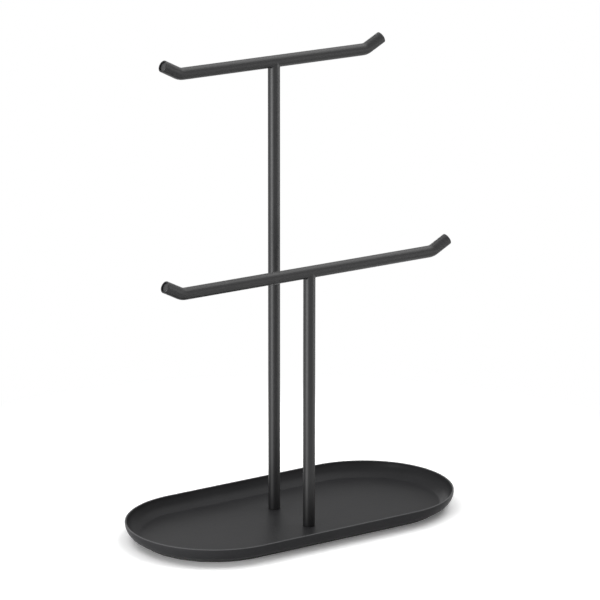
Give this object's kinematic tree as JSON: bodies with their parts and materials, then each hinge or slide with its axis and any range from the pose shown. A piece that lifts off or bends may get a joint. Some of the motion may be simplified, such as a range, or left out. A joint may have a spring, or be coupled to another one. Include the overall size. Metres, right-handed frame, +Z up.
{
  "type": "jewellery stand",
  "caption": "Free-standing necklace and ring stand: an oval dished tray carries a tall and a short round post, each topped by a crossbar with upturned tips.",
  "frame": {"origin": "centre of the footprint, on the surface that the stand rests on", "axes": "+Z up; X along the tray and the bars; the tall post stands at +Y (rear), the short one at -Y (front)"},
  "size_m": [0.24, 0.12, 0.3199],
  "materials": {
    "black_powder_coat": "matt black powder coat, fine texture",
    "plug_plastic": "matt moulded black",
    "zinc_plated_steel": "bright zinc plate, satin",
    "anti_slip_rubber": "matt closed-cell sheet"
  },
  "bodies": {
    "root": {"tray": "black_powder_coat", "base_pad": "anti_slip_rubber", "tall_post": "black_powder_coat", "tall_post_insert": "zinc_plated_steel", "tall_post_screw": "zinc_plated_steel", "upper_bar": "black_powder_coat", "upper_bar_left_plug": "plug_plastic", "upper_bar_right_plug": "plug_plastic", "short_post": "black_powder_coat", "short_post_insert": "zinc_plated_steel", "short_post_screw": "zinc_plated_steel", "lower_bar": "black_powder_coat", "lower_bar_left_plug": "plug_plastic", "lower_bar_right_plug": "plug_plastic"}
  },
  "joints": []
}
